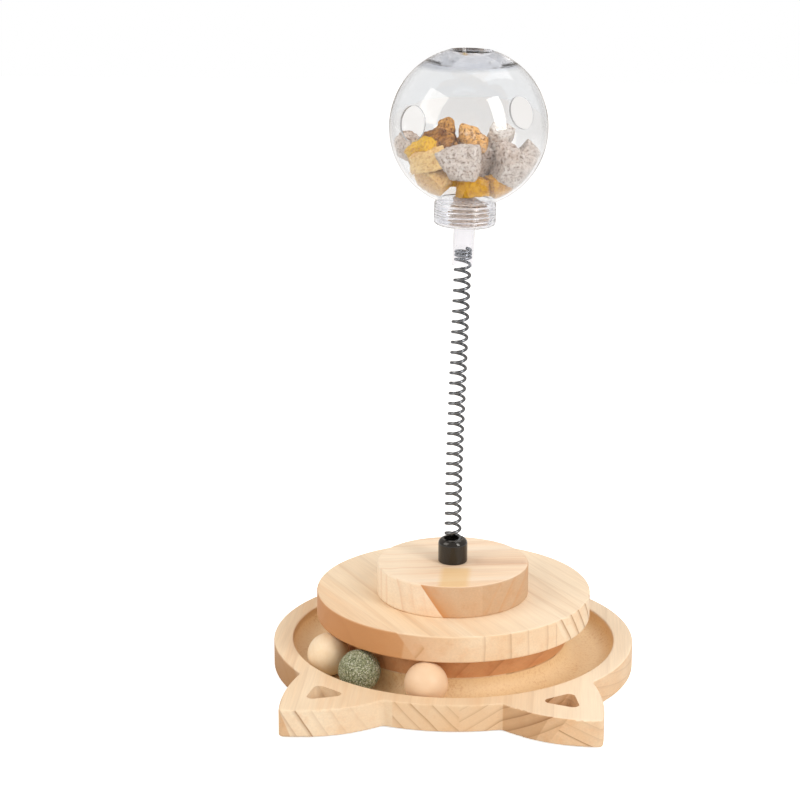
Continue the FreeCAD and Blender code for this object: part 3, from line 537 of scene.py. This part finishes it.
def clear_acrylic(name, tint, edge, crown=None):
    """Polished clear acrylic: glass with a slight wave, greyer where it is seen edge on and
    through more plastic, and open to the rays of the lamps, so that what stands inside it is
    lit. Above the crown's height it is thick, duller from its mould and grey."""
    material, tree, surface = new_material(name)
    place = add(tree, "TexCoord", out="Object")
    wave = add(tree, "TexNoise", {0: place, "Scale": 45.0, "Detail": 1.0})
    bump = add(tree, "Bump", {"Strength": 0.05, "Distance": 0.001, "Height": wave})
    rough = add(tree, "MapRange", {0: wave, 3: 0.0, 4: 0.008})
    facing = add(tree, "LayerWeight", {"Blend": 0.5}, out=1)
    edge_on = add(tree, "MapRange", {0: facing, 1: 0.62, 2: 1.0})
    colour = add(tree, "Mix", {0: edge_on, 6: linear(tint), 7: linear(edge)}, **colours)
    if crown:
        up = add(tree, "SeparateXYZ", {0: place}, out=2)
        high = add(tree, "MapRange", {0: up, 1: crown * mm, 2: (crown + 2) * mm})
        streaks = add(tree, "TexNoise", {0: place, "Scale": 160.0})
        cloudy = add(tree, "Mix", {0: streaks, 6: linear("B2B6C0"), 7: linear("E0E2E7")}, **colours)
        colour = add(tree, "Mix", {0: high, 6: colour, 7: cloudy}, **colours)
        rough = add(tree, "Math", {0: high, 1: 0.13, 2: rough}, operation="MULTIPLY_ADD")
    clear = add(tree, "BsdfPrincipled", {
        "Base Color": colour, "Roughness": rough, "IOR": 1.49,
        "Transmission Weight": 1.0, "Normal": bump})
    gone = add(tree, "BsdfTransparent", {0: linear("F4F5F6")})
    shadow_ray = add(tree, "LightPath", out="Is Shadow Ray")
    tree.links.new(add(tree, "MixShader", {0: shadow_ray, 1: clear, 2: gone}), surface)
    return material


cap_z = spigot_l
cap_top = cap_z + cap_h
bore_r = cap_r - cap_wall
inner_corner = cap_corner - cap_floor
thread_rows = [(bore_r, z)
               for z in np.arange(cap_top - cap_lip, cap_z + cap_corner, -thread_step)]
cap_profile = [
    (0, cap_z), (spring_bore_r, cap_z), (spring_bore_r, 0), (spigot_r, 0),
    (spigot_r, cap_z - spigot_round),
    *quarter((spigot_r, cap_z - spigot_round), (spigot_r, cap_z),
             (spigot_r + spigot_round, cap_z)),
    *quarter((cap_r - cap_corner, cap_z), (cap_r, cap_z), (cap_r, cap_z + cap_corner)),
    (cap_r, cap_top - cap_lip), (cap_r - cap_lip, cap_top), (bore_r + cap_lip, cap_top),
    *thread_rows,
    *quarter((bore_r, cap_z + cap_corner), (bore_r, cap_z + cap_floor),
             (bore_r - inner_corner, cap_z + cap_floor)),
    (0, cap_z + cap_floor)]
cap_acrylic = clear_acrylic("clear_moulded_acrylic_cap", "F7F7FA", "BBBDC5")
cap_grid = turned(cap_profile, thread=(cap_z + 3.0, cap_top - 0.6, -0.45, 0.0, bore_r))
skin("screw_cap_clear", [(on_head(cap_grid),)], cap_acrylic, "cap",
     ["screw_cap"])

# Treat ball: clear moulded acrylic, 1.5 mm thick, with a threaded neck below, a thick crown
# with a dimple above and two round leak holes on opposite sides.
ball_r, ball_wall = 50.0, 1.5
inner_r = ball_r - ball_wall
ball_gap = 1.94
ball_z = cap_top + ball_gap + math.sqrt(ball_r ** 2 - cap_r ** 2)
neck_r, neck_bore_r = 17.45, 15.75
neck_gap = 0.35
neck_end = cap_z + cap_floor + neck_gap
neck_round, neck_lip = 1.0, 0.3
dimple_r, dimple_floor_r, dimple_depth, crown_r = 14.0, 12.0, 5.0, 28.0
hole_r = 11.0
hole_rise = 7.0
hole_turn = -43.0
step = 360 / columns


def sphere_rows(radius, low_r, high_r):
    """Points of a sphere's profile from a low to a high circle, in steps from the holes."""
    first, last = (way * math.degrees(math.acos(end_r / radius))
                   for way, end_r in ((-1, low_r), (1, high_r)))
    level = np.arange(hole_rise - 20 * step, 90, step)
    level = [first, *level[(level > first + 0.5) & (level < last - 0.5)], last]
    return [(radius * math.cos(math.radians(e)), ball_z + radius * math.sin(math.radians(e)))
            for e in level]


def hole_patch(radius, block):
    """Skin round a hole: rings from the square edge of the block of quads it takes the place
    of to the circle, drawn out onto the sphere, then on the circle itself."""
    edge = np.concatenate([block[0, :-1], block[:-1, -1], block[-1, :0:-1], block[::-1, 0]])
    centre = np.array([0, 0, ball_z])
    middle = edge[:-1].mean(0) - centre
    middle /= np.linalg.norm(middle)
    out = (edge - centre) / radius
    side = out - middle * (out @ middle)[:, None]
    side /= np.linalg.norm(side, axis=-1, keepdims=True)
    circle = middle * math.sqrt(radius ** 2 - hole_r ** 2) + side * hole_r
    share = np.linspace(0, 1, 6)[:, None, None]
    rings = (1 - share) * (edge - centre) + share * circle
    rings *= radius / np.linalg.norm(rings, axis=-1, keepdims=True)
    return rings + centre


outer_rows = sphere_rows(ball_r, neck_r, dimple_r)
inner_rows = sphere_rows(inner_r, neck_bore_r, crown_r)[::-1]
rim_z = outer_rows[-1][1]
neck_rows = [(neck_r, z) for z in np.arange(neck_end + neck_round, outer_rows[0][1] - 0.1,
                                            thread_step)]
ball_profile = [
    *quarter((neck_r - neck_round, neck_end), (neck_r, neck_end),
             (neck_r, neck_end + neck_round), 5),
    *neck_rows[1:], *outer_rows,
    (dimple_floor_r, rim_z - dimple_depth), (0, rim_z - dimple_depth),
    (0, inner_rows[0][1]), *inner_rows,
    (neck_bore_r, neck_end + neck_lip), (neck_bore_r + neck_lip, neck_end),
    (neck_r - neck_round, neck_end)]
shell = turned(ball_profile, thread=(neck_end + 1.4, cap_top - 0.8, 0.4, 1.6, neck_r))
start_turn = math.radians(hole_turn - 90)
cos, sin = math.cos(start_turn), math.sin(start_turn)
shell = shell @ np.array([[cos, sin, 0], [-sin, cos, 0], [0, 0, 1]])
kept = np.ones((shell.shape[0] - 1, shell.shape[1] - 1), bool)
# the rows of the profile that lie level with the holes' middles, outside and inside
level_rows = []
for radius in (ball_r, inner_r):
    level = (radius * math.cos(math.radians(hole_rise)),
             ball_z + radius * math.sin(math.radians(hole_rise)))
    level_rows.append(int(np.argmin(np.hypot(*(np.array(ball_profile) - level).T))))
half_block = 4
patches, walls = [], []
for centre_column in (0, columns // 2):
    block_columns = np.arange(centre_column - half_block, centre_column + half_block + 1) % columns
    circles = []
    for radius, row in zip((ball_r, inner_r), level_rows):
        first, last = row - half_block, row + half_block
        block = shell[first:last + 1][:, block_columns]
        kept[first:last, block_columns[:-1]] = False
        patch = hole_patch(radius, block[::-1] if radius == inner_r else block)
        patches.append((on_head(patch),))
        circles.append(patch[-1])
    walls.append((on_head(np.stack(circles)),))

# the drill leaves the holes' walls matt, so they show as thin grey circles
drilled, tree, surface = new_material("drilled_acrylic_edge")
place = add(tree, "TexCoord", out="Object")
scratches = add(tree, "TexNoise", {0: place, "Scale": 900.0, "Detail": 2.0})
frost = add(tree, "Mix", {0: scratches, 6: linear("B6B8BC"), 7: linear("CFD1D4")}, **colours)
shader = add(tree, "BsdfPrincipled", {"Base Color": frost, "Roughness": 0.5, "IOR": 1.49,
                                      "Transmission Weight": 0.3})
tree.links.new(shader, surface)
ball_acrylic = clear_acrylic("clear_moulded_acrylic_ball", "F3F4F5", "D0D2D7", crown=400.0)
skin("treat_ball_clear", [(on_head(shell), kept), *patches, *walls], ball_acrylic, "ball",
     ["treat_ball"], cut_from=1 + len(patches), cut=drilled)

# Treats: freeze dried meat in grey-beige cubes, bright and pale yellow cubes of dried egg yolk
# and brown baked kibble. Each is cut or broken by hand, so no two sides are quite square.
# For each, its middle and its size as shares of the ball's radius, and its turns in degrees.
treats = {
    "meaty_treats": [
        ((-0.04, -0.46, -0.36), (0.40, 0.34, 0.38), (-8.0, -12.0, 10.0)),
        ((0.56, -0.27, -0.48), (0.36, 0.32, 0.32), (35.0, 14.0, 22.0)),
        ((-0.62, 0.02, -0.38), (0.30, 0.30, 0.26), (14.0, -20.0, 10.0)),
        ((-0.77, -0.10, -0.255), (0.28, 0.28, 0.26), (-16.0, 22.0, 12.0)),
        ((0.76, -0.10, -0.32), (0.26, 0.28, 0.27), (20.0, 38.0, 12.0)),
        ((0.51, -0.27, -0.26), (0.25, 0.22, 0.20), (48.0, 12.0, 16.0)),
        ((0.39, -0.08, -0.09), (0.28, 0.26, 0.28), (-20.0, 18.0, 24.0)),
        ((0.16, -0.08, -0.38), (0.34, 0.32, 0.34), (20.0, 10.0, 5.0)),
        ((0.39, 0.29, -0.416), (0.34, 0.32, 0.30), (-30.0, 10.0, 20.0))],
    "yellow_treats": [
        ((0.10, -0.28, -0.68), (0.40, 0.30, 0.24), (12.0, 6.0, 8.0)),
        ((-0.55, -0.33, -0.245), (0.36, 0.26, 0.20), (-35.0, -14.0, 18.0)),
        ((0.39, -0.27, -0.66), (0.24, 0.26, 0.26), (30.0, -14.0, 6.0)),
        ((-0.10, 0.30, -0.70), (0.40, 0.30, 0.24), (50.0, 5.0, -8.0))],
    "golden_treats": [
        ((-0.38, -0.33, -0.60), (0.42, 0.28, 0.27), (-32.0, 12.0, 20.0)),
        ((-0.46, -0.46, -0.36), (0.40, 0.24, 0.24), (-28.0, -10.0, 15.0)),
        ((-0.42, 0.26, -0.55), (0.34, 0.30, 0.26), (40.0, 8.0, 14.0)),
        ((0.34, 0.308, -0.68), (0.33, 0.29, 0.25), (25.0, -16.0, 9.0))],
    "brown_treats": [
        ((-0.38, -0.27, -0.13), (0.32, 0.24, 0.22), (10.0, 24.0, -16.0)),
        ((-0.27, -0.12, -0.06), (0.27, 0.25, 0.30), (25.0, -12.0, 10.0)),
        ((0.07, -0.18, -0.11), (0.36, 0.26, 0.20), (-14.0, 10.0, 14.0)),
        ((-0.22, 0.28, -0.34), (0.30, 0.28, 0.24), (-25.0, 12.0, 8.0)),
        ((0.06, 0.04, -1.07), (0.44, 0.38, 0.28), (15.0, 6.0, -5.0))],
}
# how far each treat's colour lies from the darker to the lighter tone of its kind
tones = {
    "meaty_treats": [0.72, 0.75, 0.5, 0.6, 0.7, 0.6, 0.95, 0.35, 0.4],
    "yellow_treats": [0.3, 0.9, 0.2, 0.5],
    "golden_treats": [0.5, 0.9, 0.5, 0.5],
    "brown_treats": [0.2, 0.44, 0.68, 0.3, 1.0],
}
treat_gap = 0.3
lump_size, crumb_size = 6.0, 1.7


def lumps(points, size, seed):
    """Smooth random lumps of a size, from -1 to 1: a random value at each corner of a
    lattice, blended between the corners with a smoothstep."""
    cell = points / size
    low = np.floor(cell)
    share = cell - low
    share = share * share * (3 - 2 * share)
    total = 0.0
    for corner in itertools.product((0, 1), repeat=3):
        value = np.sin((low + corner) @ (12.9898, 78.233, 37.719) + seed) * 43758.5453
        weight = np.where(corner, share, 1 - share).prod(-1)
        total = total + weight * (value - np.floor(value))
    return 2 * total - 1


def ball_directions(rows, columns):
    """Unit vectors over a whole sphere, from one pole to the other."""
    rise, turn = np.meshgrid(np.linspace(-np.pi / 2, np.pi / 2, rows),
                             np.linspace(0, 2 * np.pi, columns), indexing="ij")
    grid = np.stack([np.cos(rise) * np.cos(turn), np.cos(rise) * np.sin(turn), np.sin(rise)], -1)
    grid[:, -1] = grid[:, 0]
    grid[0], grid[-1] = (0, 0, -1), (0, 0, 1)
    return grid


def turns_matrix(turns):
    """Rotation about X, then Y, then Z, from the turns about Z, Y and X in degrees."""
    z, y, x = np.radians(turns)
    about = [np.array([[math.cos(z), -math.sin(z), 0], [math.sin(z), math.cos(z), 0], [0, 0, 1]]),
             np.array([[math.cos(y), 0, math.sin(y)], [0, 1, 0], [-math.sin(y), 0, math.cos(y)]]),
             np.array([[1, 0, 0], [0, math.cos(x), -math.sin(x)], [0, math.sin(x), math.cos(x)]])]
    return about[0] @ about[1] @ about[2]


def treat(spec, seed, hard, lump, fine):
    """One treat: in each direction the distance from its middle is a soft least of the
    distances to its six sides, which are turned a little each, and to five planes that cut
    off edges and corners, and then it is made lumpy. It is held inside the ball and neck."""
    centre, sides, turns = spec
    chance = np.random.default_rng(seed)
    way = ball_directions(65, 97)
    half = np.array(sides) * ball_r / 2
    faces = np.concatenate([np.eye(3), -np.eye(3)]) + chance.uniform(-0.2, 0.2, (6, 3))
    cuts = chance.choice([-1.0, 1.0], (5, 3)) * chance.uniform(0.15, 1.0, (5, 3))
    cuts /= np.linalg.norm(cuts, axis=-1, keepdims=True)
    faces /= np.linalg.norm(faces, axis=-1, keepdims=True)
    reach = np.concatenate([half, half, np.abs(cuts) @ half * chance.uniform(0.74, 0.9, 5)])
    faces = np.concatenate([faces, cuts])
    near = (np.maximum(way @ faces.T, 0) / reach) ** hard
    points = way * near.sum(-1, keepdims=True) ** (-1 / hard)
    points = points + way * (lump * lumps(points, lump_size, seed)
                             + fine * lumps(points, crumb_size, seed + 5))[..., None]
    points = points @ turns_matrix(turns).T + np.array(centre) * ball_r
    far = np.linalg.norm(points, axis=-1, keepdims=True)
    flat = np.linalg.norm(points[..., :2], axis=-1, keepdims=True)
    room_r, neck_room_r = inner_r - treat_gap, neck_bore_r - treat_gap
    neck_top = -math.sqrt(room_r ** 2 - neck_room_r ** 2)
    in_neck = (points[..., 2:] < neck_top) & (flat < neck_room_r + 3)
    on_wall = points * np.minimum(1, room_r / far)
    squeezed = points * np.concatenate([np.minimum(1, neck_room_r / flat)] * 2
                                       + [np.ones_like(flat)], -1)
    points = np.where(in_neck, squeezed, on_wall)
    points[..., 2] = np.maximum(points[..., 2], neck_end + treat_gap - ball_z)
    return points + (0, 0, ball_z)


def treat_finish(name, tones, speck, size, strength):
    """Dry crumbly food: each piece has its own tone, from the attribute, that drifts in soft
    clouds, with specks and pits of a given size."""
    material, tree, surface = new_material(name)
    place = add(tree, "TexCoord", out="Object")
    own = add(tree, "Attribute", out=2, attribute_name="tone")
    cloud = add(tree, "TexNoise", {0: place, "Scale": 240.0, "Detail": 4.0})
    drift = add(tree, "MapRange", {0: cloud, 1: 0.3, 2: 0.7, 3: -0.2, 4: 0.2})
    share = add(tree, "Math", {0: own, 1: drift}, operation="ADD", use_clamp=True)
    tone = add(tree, "ValToRGB", {0: share}, stops=[
        (spot, linear(code)) for spot, code in tones])
    pits = add(tree, "TexNoise", {0: place, "Scale": 1000.0 / size,
                                  "Detail": 3.0, "Roughness": 0.65})
    dots = add(tree, "MapRange", {0: pits, 1: 0.48, 2: 0.66, 4: strength})
    tone = add(tree, "Mix", {0: dots, 6: tone, 7: linear(speck)}, **colours, blend_type="MULTIPLY")
    bump = add(tree, "Bump", {"Strength": 1.0, "Distance": 0.0008, "Height": pits})
    shader = add(tree, "BsdfPrincipled", {
        "Base Color": tone, "Roughness": 0.85, "IOR": 1.45, "Normal": bump})
    tree.links.new(shader, surface)
    return material


# each kind's finish, material slot, how square it is cut, and the mm of its lumps and crumbs
finishes = {
    "meaty_treats": (treat_finish("freeze_dried_meat", [(0.0, "A08A78"), (0.5, "BEADA1"),
                                                        (1.0, "D9D2CC")], "94806F", 1.6, 0.9),
                     "meaty_treat", 30, 0.5, 0.5),
    "yellow_treats": (treat_finish("dried_egg_yolk", [(0.0, "C08600"), (0.5, "DCA600"),
                                                      (1.0, "E2B400")], "C48A30", 1.6, 0.7),
                      "yellow_treat", 28, 0.6, 0.5),
    "golden_treats": (treat_finish("pale_egg_yolk", [(0.0, "D8A458"), (1.0, "E6C688")],
                                   "C89C68", 1.6, 0.8),
                      "golden_treat", 30, 0.5, 0.5),
    "brown_treats": (treat_finish("baked_kibble", [(0.0, "5E2C0C"), (0.4, "BA8440"),
                                                   (0.7, "DCA862"), (1.0, "D2C0B2")],
                                  "6E4226", 1.8, 0.95),
                     "brown_treat", 5, 3.2, 0.8),
}
for number, (name, specs) in enumerate(treats.items()):
    finish, slot, hard, lump, fine = finishes[name]
    shapes = [treat(spec, 10 * number + k, hard, lump, fine) for k, spec in enumerate(specs)]
    piece = skin(name + "_crumbly", [(on_head(shape),) for shape in shapes], finish, "ball",
                 [name], sharp=180.0)
    # each point takes the tone of the treat whose middle is nearest to it
    spots = np.empty(3 * len(piece.data.vertices), np.float32)
    piece.data.vertices.foreach_get("co", spots)
    middles = on_head(np.array([spec[0] for spec in specs]) * ball_r + (0, 0, ball_z)) * mm
    away = np.linalg.norm(spots.reshape(-1, 1, 3) - middles, axis=-1)
    tone = piece.data.attributes.new("tone", "FLOAT", "POINT")
    tone.data.foreach_set("value", np.array(tones[name], np.float32)[away.argmin(1)])

# Track balls: two turned from pale maple and sanded smooth, and one pressed from chopped
# catnip, whose flakes and stalks stand in the surface.
maple, tree, surface = new_material("turned_maple")
place = add(tree, "TexCoord", out="Object")
grain_way = add(tree, "Mapping", {0: place, 2: (0.3, 0.5, 0.2),
                                  3: (1000 / 1.6, 1000 / 22, 1000 / 1.6)})
grain = add(tree, "TexNoise", {0: grain_way, "Scale": 1.0, "Detail": 3.0})
cloud = add(tree, "TexNoise", {0: place, "Scale": 60.0, "Detail": 2.0})
mixed = add(tree, "Math", {0: grain, 1: 0.5, 2: cloud}, operation="MULTIPLY_ADD")
clear = add(tree, "MapRange", {0: mixed, 1: 0.5, 2: 1.0})
tone = add(tree, "Mix", {0: clear, 6: linear("FDEBD0"), 7: linear("F4DAB4")}, **colours)
# the right ball is cut from a warmer piece
to_right = add(tree, "SeparateXYZ", {0: place})
warmer = add(tree, "MapRange", {0: to_right, 1: -45 * mm, 2: -40 * mm, 4: 0.65})
tone = add(tree, "Mix", {0: warmer, 6: tone, 7: linear("EBC5A2")}, **colours)
shader = add(tree, "BsdfPrincipled", {"Base Color": tone, "Roughness": 0.42, "IOR": 1.5})
tree.links.new(shader, surface)
dress(["wood_ball_left", "wood_ball_right"], maple)

# the flakes are some 0.8 mm across, each with a tone of its own, and darker at its edge
herb, tree, surface = new_material("pressed_catnip")
place = add(tree, "TexCoord", out="Object")
flakes = add(tree, "TexVoronoi", {0: place, "Scale": 1200.0})
flake_tone = add(tree, "TexVoronoi", {0: place, "Scale": 1200.0}, out=1)
tone = add(tree, "ValToRGB", {0: flake_tone}, stops=[
    (0.0, linear("5E6048")), (0.3, linear("8E9674")), (0.6, linear("AFB594")),
    (0.85, linear("D2D5C0")), (1.0, linear("E4E6D4"))])
shade = add(tree, "MapRange", {0: flakes, 1: 0.2, 2: 0.8, 3: 1.0, 4: 0.45})
tone = add(tree, "Mix", {0: 1.0, 6: tone, 7: shade}, **colours, blend_type="MULTIPLY")
bump = add(tree, "Bump", {"Strength": 0.6, "Distance": 0.0006, "Height": shade})
shader = add(tree, "BsdfPrincipled", {"Base Color": tone, "Roughness": 0.9, "Normal": bump})
tree.links.new(shader, surface)

catnip_r, flake_h = 13.8, 0.2
low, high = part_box("catnip_ball")
catnip_centre = np.array((low + high) / 2) / mm
way = ball_directions(97, 161)
height = lumps(way * catnip_r, 1.6, 3) * flake_h + lumps(way * catnip_r, 0.8, 4) * 0.15
catnip_grid = catnip_centre + way * (catnip_r - flake_h
                                     + np.minimum(height, flake_h))[..., None]
skin("catnip_ball_pressed", [(catnip_grid,)], herb, "catnip_roller",
     ["catnip_ball"], sharp=180.0)

# Studio: white paper for a floor, a tall soft lamp at the front right, a broader one of the
# same strength at the front left and a weak one from above and behind. What the camera, and the
# clear plastic, see of the surroundings is white by ray type.
scene = bpy.context.scene
scene.view_settings.view_transform = "Standard"
# a ray bounces twice in each clear wall, and meets many walls in the ball and the cap
scene.cycles.max_bounces = scene.cycles.transmission_bounces = 28
scene.cycles.glossy_bounces = 12
world = bpy.data.worlds.new("studio")
scene.world = world
world.use_nodes = True
tree = world.node_tree
tree.nodes.clear()
ray = add(tree, "LightPath").node
seen = add(tree, "Math", {0: ray.outputs["Is Camera Ray"],
                          1: ray.outputs["Is Transmission Ray"]}, operation="MAXIMUM")
room_light = add(tree, "Background", {0: linear("FFF4E8"), 1: 0.55})
white = add(tree, "Background", {0: linear("FFFFFF"), 1: 1.0})
output = tree.nodes.new("ShaderNodeOutputWorld")
tree.links.new(add(tree, "MixShader", {0: seen, 1: room_light, 2: white}), output.inputs[0])

floor_mesh = bpy.data.meshes.new("floor")
half = 3.0
floor_mesh.from_pydata([(-half, -half, 0), (half, -half, 0), (half, half, 0), (-half, half, 0)],
                       [], [(0, 1, 2, 3)])
floor = bpy.data.objects.new("floor", floor_mesh)
scene.collection.objects.link(floor)
paper, tree, surface = new_material("white_paper_sweep")
# seen through the clear plastic the paper glows less, so that the plastic's own tint shows
seen_glow, glow_through = 0.7, 0.5
ray = add(tree, "LightPath").node
direct = add(tree, "Math", {0: ray.outputs["Is Camera Ray"], 1: seen_glow}, operation="MULTIPLY")
glow = add(tree, "Math", {0: ray.outputs["Is Transmission Ray"], 1: glow_through, 2: direct},
           operation="MULTIPLY_ADD")
shader = add(tree, "BsdfPrincipled", {
    "Base Color": linear("EDF0F4"), "Roughness": 0.9, "Specular IOR Level": 0.0,
    "Emission Color": linear("FFFFFF"), "Emission Strength": glow})
tree.links.new(shader, surface)
floor_mesh.materials.append(paper)

# azimuth and elevation from the front, distance, width, height, watts and colour
target = np.array([0.0, 0.0, 0.15])
lamps = [("key", 50.0, 30.0, 1.7, 0.5, 1.3, 14.0, "FFFBF6"),
         ("fill", -62.0, 34.0, 2.0, 1.2, 1.4, 14.0, "FFF9F0"),
         ("top", 150.0, 70.0, 1.6, 1.2, 1.2, 5.5, "FFFFFF")]
for name, azimuth, elevation, away, wide, high, watts, colour in lamps:
    data = bpy.data.lights.new(name, "AREA")
    data.shape = "RECTANGLE"
    data.size, data.size_y = wide, high
    data.energy = watts
    data.color = linear(colour)[:3]
    turn, rise = math.radians(azimuth), math.radians(elevation)
    way = np.array([math.sin(turn) * math.cos(rise), -math.cos(turn) * math.cos(rise),
                    math.sin(rise)])
    lamp = bpy.data.objects.new(name, data)
    lamp.location = target + away * way
    lamp.rotation_mode = "QUATERNION"
    lamp.rotation_quaternion = Vector(-way).to_track_quat("-Z", "Y")
    scene.collection.objects.link(lamp)

# Camera of the photograph, fitted to the rims of the wooden pieces: a long lens, seen from a
# little to the right and above.
camera_data = bpy.data.cameras.new("camera")
camera_data.lens = 100.87
camera_data.sensor_width = 36.0
camera = bpy.data.objects.new("camera", camera_data)
camera.location = (0.08063, -1.4077, 0.5727)
camera.rotation_mode = "QUATERNION"
camera.rotation_quaternion = Vector((-0.0794, 0.9605, -0.2668)).to_track_quat("-Z", "Y")
scene.collection.objects.link(camera)
scene.camera = camera
